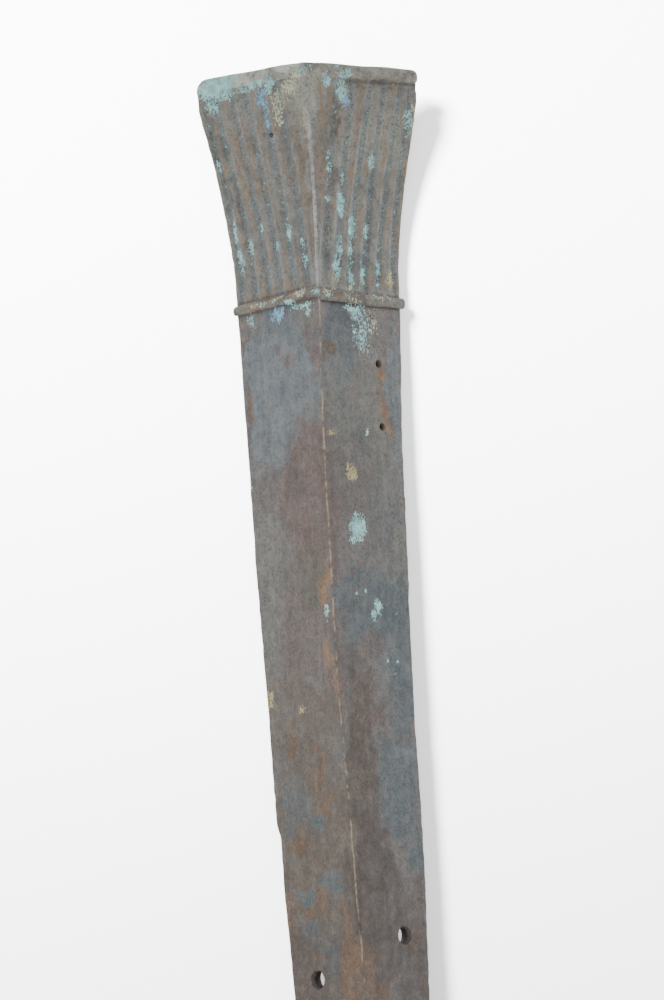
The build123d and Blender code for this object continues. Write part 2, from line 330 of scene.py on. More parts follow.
# %% Bores
def cut_bore(piece, side, along, z, radius, mouth, scale):
    """Cuts a round hole through the wall. Its radius grows by the mouth's width at both faces,
    as an exponential of the depth, shrinks in between by the rust scale that has grown there, and
    wavers a little round the circle."""
    past = 4.0  # how far the cutter stands out of both faces
    depth = np.linspace(-past, wall + past, 40)[:, None]
    angle = np.linspace(0, 2 * math.pi, 64, endpoint=False)
    nearest = np.minimum(np.abs(depth), np.abs(depth - wall))
    uneven = 0.012 * radius * (np.sin(3 * angle + along) + np.sin(5 * angle + z))
    grown = scale * ease(depth, 1, 4) * (1 - ease(depth, wall - 4, wall - 1))
    reach = radius + mouth * np.exp(-nearest / 0.9) - grown + uneven
    ring = place(side, along + reach * np.cos(angle), depth, z + reach * np.sin(angle))
    cutter = make_piece("bore_cutter", ring)
    modifier = piece.modifiers.new("bore", "BOOLEAN")
    modifier.operation = "DIFFERENCE"
    modifier.solver = "EXACT"
    modifier.object = cutter
    with bpy.context.temp_override(object=piece):
        bpy.ops.object.modifier_apply(modifier=modifier.name)
    bpy.data.objects.remove(cutter)
    finish_mesh(piece)


bolt_radius = 7.3
screw_radius = 3.0
shaft_bores = (  # side, distance from the arris, height, radius, width of the mouth, rust scale
    (-1, 51.0, 168.5, bolt_radius, 0.45, 0.5),
    (1, 51.0, 199.5, bolt_radius, 0.45, 0.9),
    (1, 64.8, 613.5, screw_radius, 0.8, 0.0),
    (1, 64.8, 666.0, screw_radius, 0.8, 0.0),
)
for side, *bore in shaft_bores:
    cut_bore(shaft_plates[side], side, *bore)

# %% [markdown]
# ## Fluted head
# The head's panels carry six flutes each, cut as shallow troughs that fan out as they rise. Each
# trough is (1 - x^2) to the power 1.5 across its width, which has a round bottom and soft sides. It
# starts under the bead and ends in a rounded top under the rim, and its middle and depth waver
# as hand-made pattern work does.

# %% Flutes
flute_foot = 725.0
flute_head = 896.0
flute_depth = 1.8
flute_half_width = 6.6
flute_start = (721, 731)  # the flutes deepen between these heights
flute_stop = (893, 903)  # and run out between these
flute_feet = {-1: (10, 27, 43, 57, 74, 90), 1: (6, 21, 36, 53, 70, 88)}
flute_heads = {-1: (25, 40, 55, 68, 83, 93), 1: (29, 42, 58, 71, 86, 95)}


def troughs(side, along, z):
    """How deep the flutes are at a place, from 0 on a rib to 1 in the middle of a flute."""
    climb = (z - flute_foot) / (flute_head - flute_foot)
    depth = 0 * along * climb
    for foot, head in zip(flute_feet[side], flute_heads[side]):
        middle = foot + (head - foot) * climb + 0.5 * noise(z, foot + 0 * z, 23, 50)
        width = flute_half_width - 1.2 * climb - 0.02 * foot
        across = np.clip(np.abs(along - middle) / width, 0, 1)
        strength = 0.9 + 0.2 * noise(z, foot + 0 * z, 31, 51)
        depth = np.maximum(depth, strength * (1 - across**2) ** 1.5)
    return depth * ease(z, *flute_start) * (1 - ease(z, *flute_stop))


def head_relief(side, along, z):
    """Flutes, a faint extra trough beside the arris, the crease under the right roll, and skin."""
    fan = 0.5 * bell(along - 4 - 0.09 * (z - 800), 2.6) * ease(z, 790, 830)
    crease = 0.9 * bell(z - 897.5, 1.6) * ease(side * along, 28, 46)
    faint = fan * (1 - ease(z, 888, 900)) * (side < 0)
    return flute_depth * troughs(side, along, z) + faint + crease + cast_skin(along, z, 20 + side)


# %% Head panels
def settle(side, along, z):
    """The rim isn't level: it sinks by 1 mm at the arris and more towards the right."""
    dents = 0.55 * noise(side * along + 0 * z, 0 * z, 23, 55)
    return z - np.maximum(1.0 + 0.018 * side * along + dents, 0.2) * ease(z, 850, 905)


corner_radius = {-1: 12.5, 1: 6.0}
fine_top = 8.0  # levels stand closer together this near the top, where the edge is rounded


def head_edge(side, z):
    """The free edge of the head, with its top corner rounded."""
    radius = corner_radius[side]
    over = np.clip(z - (top - radius), 0, radius)
    return edges[side](z) - radius + np.sqrt(radius**2 - over**2)


lower_z = np.linspace(neck, top - fine_top, 262)[:-1]
head_z = np.concatenate([lower_z, np.linspace(top - fine_top, top, 17)])
head_panels = {}
for side, name in ((-1, "left_head_skin"), (1, "right_head_skin")):
    nibbled = head_edge(side, head_z) + 0.3 * wander(head_z, 6, 40 + side)
    wear = end_wear(head_z, top, 2.6)
    along, inward = half_section(side, head_z, 140, head_relief, wear, nibbled - 0.3)
    level = settle(side, along, head_z[:, None])
    head_panels[side] = make_piece(name, place(side, along, inward, level))
pin_hole = (37.0, 858.0, 2.0, 0.4, 0.0)  # laid out as a row of shaft_bores
cut_bore(head_panels[-1], -1, *pin_hole)

# %% [markdown]
# ## Strips along the arris
# The joint between the halves was filled and then rubbed down by years of handling. A strip's
# section runs from the groove's root to one lip, over a low nose to the other lip, and back.
# The nose is a quadratic curve whose middle point rises and sinks along the strip, so that
# the filler is proud in places and missing in others.

# %% Arris strips
def arris_strip(name, z, rise, relief):
    """Closed level loops of a strip: both lips, the bottom of the groove, and a nose between."""
    z = z[:, None]
    drift = arris_drift(z)
    lips = []
    for side in (-1, 1):
        along = lip(side, z)
        skin = mean_skin(side, along, z) + relief(side, along, z)
        lips.append(place(side, along, skin, settle(side, along, z)))
    root_along, root_inward = groove_root(1, z)
    root = place(1, root_along, root_inward, settle(1, root_along, z))
    crown = np.stack([drift, arris_y - rise(z), settle(1, 0, z)], -1)
    share = np.linspace(0, 1, 9)[None, :, None]
    nose = lips[0] * (1 - share) ** 2 + 2 * crown * share * (1 - share) + lips[1] * share**2
    return make_piece(name, np.concatenate([nose, root], 1))


def seam_rise(z):
    return 0.3 + 0.5 * wander(z, 17, 60) + 0.3 * wander(z, 3, 61)


def rib_rise(z):
    return 1.0 + 0.25 * wander(z, 9, 62) - 0.7 * ease(z, 850, 870)


seam = arris_strip("shaft_arris_filler", np.linspace(0, neck, 590), seam_rise, shaft_relief)
rib = arris_strip("head_arris_ridge", np.linspace(neck, top - 1.5, 270), rib_rise, head_relief)

# %% [markdown]
# ## Bead and rim
# These are bars along each face. A bar's loop is its rounded front and a flat back that sits a
# little inside the plate, and its middle, height and thickness change along the face. The two
# bead halves don't quite meet, and the left rim is a flat band where the right one is a roll.

# %% Bars along a face
sunk = 0.5  # how far a bar's flat back lies inside the plate
lean_reach = 7.0  # a bar leans over to the mitre plane this near the arris


def face_bar(name, side, stations, middle, height, proud, fullness, end):
    """Closed loops across a bar. The front is an ellipse whose depth is raised to a power, so
    that a small power is boxy. Near the arris the loops lean over to meet on the mitre plane."""
    stations = stations[:, None]
    front = np.linspace(-math.pi / 2, math.pi / 2, 25)
    level = middle + height / 2 * np.sin(front)
    depth = -proud * np.cos(front) ** fullness
    rough = 0.18 * noise(stations, level, 5, 70 + side) + 0.1 * noise(stations, level, 2.4, 72)
    depth = depth + rough * np.cos(front)
    back = np.full_like(depth[:, :1], sunk)
    level = np.concatenate([level, level[:, -1:] - 0.6, level[:, :1] + 0.6], 1)
    depth = np.concatenate([depth, back, back], 1)
    along = stations / stations[-1] * end(level)
    along = along + depth * np.tan(face_angle(level)) * np.clip(1 - stations / lean_reach, 0, 1)
    return make_piece(name, place(side, along, depth, settle(side, along, level)))


def rounded_end(stations, radius):
    """1 along the bar, then down a quarter circle to almost nothing at its end."""
    over = np.clip(stations - (stations[-1] - radius), 0, radius) / radius
    return np.sqrt(1 - 0.96 * over**2)[:, None]


def close_end(near, end):
    """Distances along a bar, in small steps near its rounded end."""
    return np.concatenate([np.linspace(0, near, 150), np.linspace(near + 0.4, end, 12)])


# %% Neck bead
bead_stations = close_end(97, 101.3)
u = bead_stations[:, None]
taper = rounded_end(bead_stations, 4.0)
left_bead = face_bar(
    "left_bead_skin", -1, bead_stations,
    721.5 - 1.4 * np.exp(-u / 6) + 0.5 * wander(u, 19, 80),
    8.0 * (0.6 + 0.4 * taper) + 0.5 * wander(u, 13, 81),
    3.9 * taper - 0.25 + 0.25 * wander(u, 11, 82),
    0.9, lambda level: 101.3 + 0 * level,
)
right_bead = face_bar(
    "right_bead_skin", 1, bead_stations,
    718.9 + 0.6 * np.exp(-u / 6) + 0.5 * wander(u, 21, 83),
    8.8 * (0.6 + 0.4 * taper) + 0.5 * wander(u, 13, 84),
    4.0 * taper - 0.25 + 0.2 * wander(u, 11, 85),
    0.85, lambda level: 99.8 + 0 * level,
)

# %% Rim
def band_end(level):
    """The left band ends with the panel's own edge, just inside it low down."""
    return head_edge(-1, np.clip(level, 0, top)) - 0.5 + 0.9 * ease(level, 901, 909)


rim_stations = close_end(98, 102)
u = rim_stations[:, None]
taper = rounded_end(rim_stations, 5.0)
swell = ease(u, 20, 46)
rim_middle = 907.4
rim_height = 12.2
left_rim = face_bar(
    "left_rim_band", -1, rim_stations,
    rim_middle + 0 * u,
    rim_height + 0.3 * wander(u, 15, 86),
    (0.9 + 1.1 * ease(u, 15, 60)) * taper + 0.25 * wander(u, 14, 87),
    0.7, band_end,
)
right_rim = face_bar(
    "right_rim_roll_skin", 1, rim_stations,
    rim_middle + 0.3 * swell + 0.4 * wander(u, 25, 88) * swell,
    (rim_height - 0.6 * swell) * (0.3 + 0.7 * taper),
    (0.9 + 3.3 * swell) * taper + 0.25 * wander(u, 12, 89) * taper,
    0.8, lambda level: 102.8 + 0 * level,
)

# %% [markdown]
# ## Pins
# The bead and the rim are held by pins from behind. The worn rim is thinner than the drawn one, so
# these pins stop under its skin. Each is a cylinder with a slightly rounded end at the back,
# and all pins of a bar are one object, because they are the same part.

# %% Pins of the bead and the rim
pin_radius = 1.5
pin_reaches = (16.0, 51.0, 86.0)


def pin_loops(side, along, z, front):
    """Circles along a pin, from a dot at the front to a dot behind. The radius rounds off at the
    back as a quarter circle of 0.4 mm."""
    depth = np.array([front, front, 0, wall / 2, wall - 0.4, wall - 0.1, wall])[:, None]
    radius = pin_radius * np.array([0.05, 1, 1, 1, 1, 0.9, 0.7])[:, None]
    angle = np.linspace(0, 2 * math.pi, 24, endpoint=False)
    return place(side, along + radius * np.cos(angle), depth, z + radius * np.sin(angle))


def pin_set(name, z, front):
    """All six pins of the two bars in one mesh."""
    pins = [
        make_piece(name + "_part", pin_loops(side, along, z, front))
        for side in (-1, 1)
        for along in pin_reaches
    ]
    with bpy.context.temp_override(active_object=pins[0], selected_editable_objects=pins):
        bpy.ops.object.join()
    pins[0].name = name
    return pins[0]


bead_pin_set = pin_set("bead_pins_under_skin", 720.5, -1.2)
rim_pin_set = pin_set("rim_pins_under_skin", 905.0, 0.6)

# %% [markdown]
# ## Where the colours lie
# Rust, old paint and dirt don't repeat, so they are laid out one by one, as a painter would: each
# patch is a place on the unfolded faces (distance from the arris, left negative, and height) with
# a half width and a half height. A patch is an ellipse that is strongest in its middle. The
# materials break its border up with noise, so these lists only say roughly where things are.

# %% Colour helpers
def linear(hex_colour):
    """An sRGB hex colour as linear red, green and blue."""
    values = np.array([int(hex_colour[k:k + 2], 16) for k in (1, 3, 5)]) / 255
    return np.where(values <= 0.04045, values / 12.92, ((values + 0.055) / 1.055) ** 2.4)


def unfolded(piece):
    """Distance from the arris along the face, left negative, and height, of every vertex."""
    places = np.zeros(len(piece.data.vertices) * 3, np.float32)
    piece.data.vertices.foreach_get("co", places)
    x, y, z = places.reshape(-1, 3).T * 1000.0
    return x / np.cos(face_angle(z)), y, z


def ragged(s, z, coarse, fine, seed):
    """The same places pushed about by two sizes of noise, so that a patch has a ragged border."""
    across = coarse * noise(s, z, 19, seed) + fine * noise(s, z, 6, seed + 1)
    up = coarse * noise(s, z, 19, seed + 2) + fine * noise(s, z, 6, seed + 3)
    return s + across, z + 1.6 * up


def dome(s, z, patch):
    """1 in the middle of an elliptic patch, 0 on its border and negative outside."""
    return 1 - ((s - patch[0]) / patch[2]) ** 2 - ((z - patch[1]) / patch[3]) ** 2


def write(piece, **layers):
    """Stores a number or a colour for every vertex, under the layer's name."""
    for name, values in layers.items():
        kind, field = ("FLOAT", "value") if values.ndim == 1 else ("FLOAT_COLOR", "color")
        if field == "color":
            values = np.concatenate([values, np.ones((len(values), 1))], 1)
        attribute = piece.data.attributes.new(name, kind, "POINT")
        attribute.data.foreach_set(field, values.astype(np.float32).ravel())


# %% Palette
slate = "#697074"  # thin blue-grey remains of old paint
steel_blue = "#596063"
maroon = "#655955"  # dark red-brown rust
brown = "#59514c"
earth = "#60574e"  # dull brown of the lower part
night_blue = "#4b5257"
# Umber is crust in most patches, and painted shade in the wide patch at the foot of the shaft.
umber = "#514a47"  # nearly black-brown crust
rust = "#725843"  # bright, fresh rust
orange_rust = "#85684f"
ochre_rust = "#625444"
dun = "#6f706a"  # pale grey-brown, the colour of rubbed ribs
pale_dun = "#919289"
moss = "#53564d"
turquoise = "#93c4c3"
sky = "#7baac6"
cream = "#aba073"
chalk = "#b2b59b"
black_crust = "#2f2a28"
# The darkest colour: crust, and painted shade in the bores and in the lines by the bead and the roll.
deep_crust = "#231f1d"
dust = "#8f8c82"
groove_slate = "#5f6a70"
rib_dun = "#736d63"
moulding_brown = "#62584d"
crest_ochre = "#ab9b80"  # the pale line of filler
crest_grey = "#a8a3a5"
print("slate in linear values", linear(slate).round(3))

# %% [markdown]
# ## The ground
# A row is distance from the arris, height, half width, half height, colour and strength.

# %% Ground patches
shaft_base = "#696664"
bead_base = "#6f6b64"
left_rim_base = "#acada3"
right_rim_base = "#86847c"
inner_rust = "#6a5a4e"  # the sheltered inside never had paint
head_base = "#7d7d78"
shaft_ground = (
    (-50, 662, 58, 60, slate, 0.9), (-62, 612, 34, 30, slate, 0.8), (-52, 704, 40, 14, steel_blue, 0.6),
    (-8, 680, 9, 40, maroon, 0.65), (-94, 640, 7, 90, brown, 0.5), (-86, 660, 8, 50, slate, 0.6),
    (-93, 690, 7, 14, rust, 0.4), (-94, 640, 6, 14, rust, 0.4), (-24, 560, 36, 78, maroon, 0.9),
    (-60, 570, 30, 26, brown, 0.5), (-30, 440, 44, 80, maroon, 0.55), (-82, 490, 22, 80, dun, 0.35),
    (-41, 669, 11, 11, maroon, 0.7), (-30, 490, 14, 26, moss, 0.5), (-15, 484, 9, 20, orange_rust, 0.7),
    (-11, 420, 8, 26, orange_rust, 0.6), (-22, 412, 22, 12, maroon, 0.5),
    (-46, 240, 76, 130, earth, 0.75), (-50, 375, 60, 44, earth, 0.5), (-35, 403, 11, 12, slate, 0.35),
    (-64, 346, 5, 24, rust, 0.5), (-34, 338, 11, 16, rust, 0.55), (-26, 308, 11, 18, rust, 0.4),
    (-62, 314, 24, 26, steel_blue, 0.6), (-37, 290, 13, 13, steel_blue, 0.9),
    (-68, 276, 24, 12, rust, 0.35), (-60, 242, 15, 6, steel_blue, 0.9),
    (-24, 241, 14, 11, steel_blue, 0.8), (-78, 225, 9, 15, rust, 0.6), (-56, 227, 6, 13, rust, 0.5),
    (-38, 226, 9, 13, rust, 0.45), (-54, 208, 11, 14, steel_blue, 0.7),
    (-34, 186, 11, 24, steel_blue, 0.8), (-70, 190, 16, 30, brown, 0.6),
    (-11, 186, 13, 42, orange_rust, 0.75), (9, 172, 17, 26, orange_rust, 0.8),
    (24, 162, 12, 14, rust, 0.6), (-45, 100, 70, 70, brown, 0.6), (40, 90, 60, 70, umber, 0.5),
    (16, 680, 20, 40, steel_blue, 0.7), (24, 703, 18, 11, night_blue, 0.6),
    (9, 672, 6, 13, ochre_rust, 0.8), (20, 648, 14, 26, steel_blue, 0.6), (32, 640, 8, 14, maroon, 0.4),
    (12, 612, 12, 14, dun, 0.5), (34, 604, 16, 22, steel_blue, 0.5), (55, 641, 19, 50, dun, 0.5),
    (68, 640, 8, 38, rust, 0.5), (68, 662, 9, 12, orange_rust, 0.7), (67, 630, 6, 12, orange_rust, 0.5),
    (69, 611, 10, 8, orange_rust, 0.85), (83, 640, 10, 80, slate, 0.7), (24, 570, 46, 44, brown, 0.3),
    (60, 545, 30, 40, steel_blue, 0.35), (44, 466, 52, 38, steel_blue, 0.9),
    (70, 452, 26, 60, steel_blue, 0.8), (20, 436, 20, 30, steel_blue, 0.5),
    (24, 487, 5, 5, maroon, 0.8), (74, 506, 14, 22, dun, 0.5), (24, 630, 26, 34, dun, 0.35),
    (68, 580, 22, 40, dun, 0.35), (26, 432, 22, 18, maroon, 0.45), (60, 416, 26, 16, slate, 0.4),
    (17, 345, 20, 95, brown, 0.9), (41, 377, 11, 12, maroon, 0.8), (67, 385, 20, 34, steel_blue, 0.9),
    (56, 315, 31, 48, steel_blue, 0.9), (66, 343, 12, 9, slate, 0.6), (22, 232, 36, 72, umber, 0.7),
    (72, 262, 9, 22, steel_blue, 0.8), (68, 226, 14, 18, maroon, 0.5), (63, 190, 12, 9, rust, 0.6),
    # The wide umber patch at (0, 150) is painted shade: it darkens the lower end of both faces.
    (53, 172, 9, 13, slate, 0.6), (72, 165, 8, 12, rust, 0.5), (0, 150, 130, 75, umber, 0.4),
    (68, 190, 34, 60, umber, 0.45), (-90, 262, 10, 20, umber, 0.5),
)
head_ground = (
    (-50, 760, 60, 60, steel_blue, 0.3), (-57, 835, 7, 34, rust, 0.5), (-70, 832, 5, 28, rust, 0.5),
    (10, 828, 7, 18, orange_rust, 0.6), (20, 872, 6, 26, ochre_rust, 0.8),
    (-8, 800, 6, 70, ochre_rust, 0.5), (80, 830, 20, 60, moss, 0.15), (96, 780, 5, 20, rust, 0.5),
    (-50, 730, 44, 6, orange_rust, 0.6), (-22, 835, 8, 40, umber, 0.4), (12, 812, 14, 60, brown, 0.5),
    (0, 888, 24, 18, pale_dun, 0.8), (-15, 906, 40, 9, moss, 0.4), (78, 905, 30, 9, brown, 0.4),
    (-92, 850, 8, 60, moss, 0.5), (-36, 800, 5, 50, rust, 0.35), (-80, 800, 6, 40, brown, 0.4),
    (60, 845, 40, 34, pale_dun, 0.5), (45, 740, 40, 20, steel_blue, 0.6),
    (62, 790, 8, 40, steel_blue, 0.5), (88, 870, 10, 26, brown, 0.15), (-20, 745, 10, 26, brown, 0.4),
)
bead_ground = (
    (-55, 722, 50, 9, orange_rust, 0.5), (-12, 722, 14, 8, umber, 0.4),
    (16, 719, 12, 8, ochre_rust, 0.6), (48, 719, 16, 8, brown, 0.5), (77, 718, 20, 8, dun, 0.8),
    (-95, 722, 10, 8, dun, 0.6),
)
print("ground patches", len(shaft_ground) + len(head_ground) + len(bead_ground))

# %% [markdown]
# ## Flakes
# These rows are laid out in the same way, without the colour, and a weak row is more broken. Away
# from all of them the measure of paint is -2.3, where the noise in the material lets only a few
# specks show. It is a little higher in a hollow, where paint clings better.

# %% Flakes of paint
turquoise_flakes = (
    (-80, 904, 20, 11, 1.8), (-90, 904, 9, 9, 1.6), (-85, 890, 5, 9, 1.3), (-44, 900, 17, 3, 1.1),
    (-33, 898, 4.5, 9, 1.5), (-2, 906, 8, 3, 0.8), (20, 899, 4, 6, 1.1), (33, 891, 5, 14, 1.3),
    (38, 904, 5, 3, 1.2), (30, 912, 3, 3, 0.9), (97, 871, 5, 11, 0.7), (62, 833, 3, 6, 1.1),
    (19, 831, 2.5, 10, 0.8), (31.5, 821, 2.5, 6, 0.9), (30.5, 796.5, 4.6, 12, 2.0),
    (17.5, 799, 2.2, 3.5, 1.2), (43, 777, 4, 10, 1.2), (41, 758, 2.8, 8, 0.9), (27, 760, 4, 10, 1.4),
    (23, 743, 4, 10, 1.1), (58, 775, 2.6, 8, 1.2), (38.5, 737, 3.2, 10, 1.1), (52.5, 738, 3.2, 11, 0.9),
    (71, 747, 2.8, 8, 1.2), (70, 731, 1.8, 4, 0.9), (-88, 764, 2.8, 10, 1.1), (-89, 788, 2, 15, 0.7),
    (-91, 843, 2, 6, 0.9), (-75, 774, 3.2, 7, 1.1), (-29, 776, 3.6, 7, 1.5), (-44, 768, 2.4, 4, 0.9),
    (-15, 765, 2.2, 4, 1.0), (-14, 751, 3, 8, 0.9), (-60, 786, 1.8, 5, 0.7), (-66, 722, 5, 3, 0.6),
    (-52, 723, 7, 2.6, 0.4), (-36, 720, 7, 3, 1.3), (-2, 722, 5, 2.5, 0.8), (10, 718, 8, 2.5, 0.4),
    (-80, 713, 4, 4, 1.0), (-20, 714, 14, 3, 0.8), (-14, 709, 4, 5, 0.8), (35, 711, 9, 3.5, 1.0),
    (46, 694, 10, 21, 0.55), (43, 708, 8, 6, 1.1), (27, 529, 10, 11, 1.9), (23, 521, 5, 6, 1.2),
    (46, 464, 4.6, 7, 1.5), (39, 456, 3, 4.5, 1.5), (-14.5, 462, 2.6, 7.5, 1.2),
    (-95, 574, 2.5, 5, 1.1), (45, 607, 2.4, 3, 1.0), (21, 478, 1.6, 1.8, 1.2), (32, 475, 1.4, 1.6, 1.1),
    (66, 459, 1.6, 1.8, 1.1), (52, 421, 1.4, 1.6, 1.1), (64, 421, 1.4, 1.6, 1.1),
    (60, 410, 1.4, 1.6, 1.0),
)
sky_flakes = (
    (-41.5, 889, 4.6, 7.5, 1.6), (-38, 873, 2.6, 10, 0.9), (-50, 711, 8.5, 5.5, 1.4),
    (34, 884, 4, 8, 1.0), (58, 776, 2, 6, 0.8),
)
cream_flakes = (
    (84.5, 738, 3.2, 9, 1.0), (25, 576, 6, 6.5, 1.5), (4, 605, 4.5, 3, 1.0), (-87, 396, 5, 9, 1.4),
    (-50, 385, 4, 5, 0.7), (-2, 868, 3, 20, 0.5),
)
chalk_flakes = (
    (-27, 878, 5, 14, 1.0), (-15, 894, 6, 9, 1.1), (-10, 902, 7, 6, 0.9), (-58, 904, 8, 4, 0.5),
    (60, 699, 7, 14, 0.1), (34, 897, 3, 5, 0.8), (98, 872, 4, 8, 0.8), (86, 740, 2, 6, 0.8),
    (38, 731, 3, 5, 0.9), (20, 733, 3, 6, 0.8), (53, 733, 3, 4, 0.8), (-14, 753, 2, 4, 0.7),
    (-50, 724, 9, 2.4, 0.6), (-20, 725, 8, 2.4, 0.7), (12, 722, 11, 2.6, 0.5), (72, 721, 22, 3, 0.2),
    (40, 719, 12, 3, 0.1), (-80, 723, 12, 3, 0.1), (0, 723, 5, 3, 0.3),
)
flake_layers = (
    (turquoise, turquoise_flakes), (sky, sky_flakes), (cream, cream_flakes), (chalk, chalk_flakes),
)
few_specks = -2.3
bare = -4.0  # no flakes at all
print("flakes", sum(len(patches) for colour, patches in flake_layers))


# %% Laying the colours
def ground_colours(s, z, base, ground):
    """The base colour with each patch laid over it in turn, thinner towards the patch's border.
    Rust fades out slowly, because it creeps into the paint. Noise breaks every patch up inside."""
    colours = np.tile(linear(base), (len(s), 1))
    wide_s, wide_z = ragged(s, z, 7, 3.5, 90)
    broken = 1 + 0.35 * noise(s, z, 8, 92) + 0.25 * noise(s, z, 3.5, 93)
    for patch in ground:
        full = 1.1 if patch[4] in (rust, orange_rust) else 0.6
        share = np.clip(patch[5] * broken * ease(dome(wide_s, wide_z, patch), -0.1, full), 0, 1)
        colours += (linear(patch[4]) - colours) * share[:, None]
    return colours


def lay_colours(piece, base, ground, cavity, crust):
    """Writes the ground colour, the flakes of paint, how deep it lies, and crust and painted shade."""
    s, y, z = unfolded(piece)
    hollow = cavity(s, y, z)
    flakes = few_specks + 0.6 * ease(z, 560, 720) + 0.7 * np.clip(hollow, 0, 1)
    paint = np.tile(linear(turquoise), (len(s), 1))
    small_s, small_z = ragged(s, z, 1.2, 1.2, 95)
    for colour, patches in flake_layers:
        for patch in patches:
            cover = patch[4] - max(patch[4], 1) * (1 - dome(small_s, small_z, patch))
            paint[cover > flakes] = linear(colour)
            flakes = np.maximum(flakes, cover)
    inside = ease(y - arris_y - np.abs(s) * np.sin(face_angle(z)), 7, 11)
    flakes = np.where(inside > 0.5, bare, flakes)
    colours = ground_colours(s, z, base, ground)
    colours += (linear(inner_rust) - colours) * inside[:, None]
    write(piece, ground=colours, paint=paint, flakes=flakes, hollow=hollow, crust=crust(s, y, z))


# %% [markdown]
# ## Materials
# One helper adds a node, sets its values and links its sockets. Every iron surface here is bare
# cast iron that has rusted through old paint, so one recipe makes them all: mottles at three
# sizes, dark pits, streaks that run down with the rain, and flakes of paint with a worn border.

# %% Node helper
def add(tree, kind, inputs=None, **settings):
    """Adds one shader node and returns its outputs. A socket in inputs is linked, and any other
    value is set."""
    node = tree.nodes.new("ShaderNode" + kind)
    for name, value in settings.items():
        setattr(node, name, value)
    for name, value in (inputs or {}).items():
        if isinstance(value, bpy.types.NodeSocket):
            tree.links.new(value, node.inputs[name])
        else:
            node.inputs[name].default_value = value
    return node.outputs


def start_material(name):
    material = bpy.data.materials.new(name)
    material.use_nodes = True
    tree = material.node_tree
    tree.nodes.clear()
    return material, tree


def grain(tree, place_socket, size, detail=3.0, stretch=1.0):
    """Noise with lumps of a real size in millimetres, stretched upwards."""
    scaled = add(tree, "Mapping", {"Vector": place_socket, "Scale": (1, 1, 1 / stretch)})
    settings = {"Vector": scaled[0], "Scale": 1000 / size, "Detail": detail, "Roughness": 0.62}
    return add(tree, "TexNoise", settings)["Fac"]


# %% Mixing patterns
def carry(tree, *ranges):
    """The product of patterns, each carried smoothly from one range of values to another."""
    product = None
    for pattern, low, high, to_low, to_high in ranges:
        ends = {"From Min": low, "From Max": high, "To Min": to_low, "To Max": to_high}
        inputs = {"Value": pattern, **ends}
        carried = add(tree, "MapRange", inputs, interpolation_type="SMOOTHSTEP")[0]
        if product is not None:
            carried = add(tree, "Math", {0: product, 1: carried}, operation="MULTIPLY")[0]
        product = carried
    return product


def sway(tree, start, *terms):
    """A value pushed up and down by patterns, each less its middle of 0.5 and times its weight."""
    for pattern, weight in terms:
        centred = add(tree, "Math", {0: pattern, 1: 0.5}, operation="SUBTRACT")[0]
        sums = {0: centred, 1: weight, 2: start}
        start = add(tree, "Math", sums, operation="MULTIPLY_ADD")[0]
    return start


def coat(tree, under, over, share):
    """One colour over another, both hex values or sockets."""
    colours = [(*linear(one), 1.0) if isinstance(one, str) else one for one in (under, over)]
    inputs = {"Factor": share, "A": colours[0], "B": colours[1]}
    return add(tree, "Mix", inputs, data_type="RGBA")["Result"]


def finish_material(tree, colour, rough, height, metallic=0.0, specular=0.5):
    """The shader, its bump from a height in metres, and the output."""
    bump = add(tree, "Bump", {"Height": height, "Strength": 0.8, "Distance": 1.0})
    inputs = {
        "Base Color": colour, "Roughness": rough, "Normal": bump[0],
        "Metallic": metallic, "Specular IOR Level": specular,
    }
    shader = add(tree, "BsdfPrincipled", inputs)
    add(tree, "OutputMaterial", {"Surface": shader[0]})


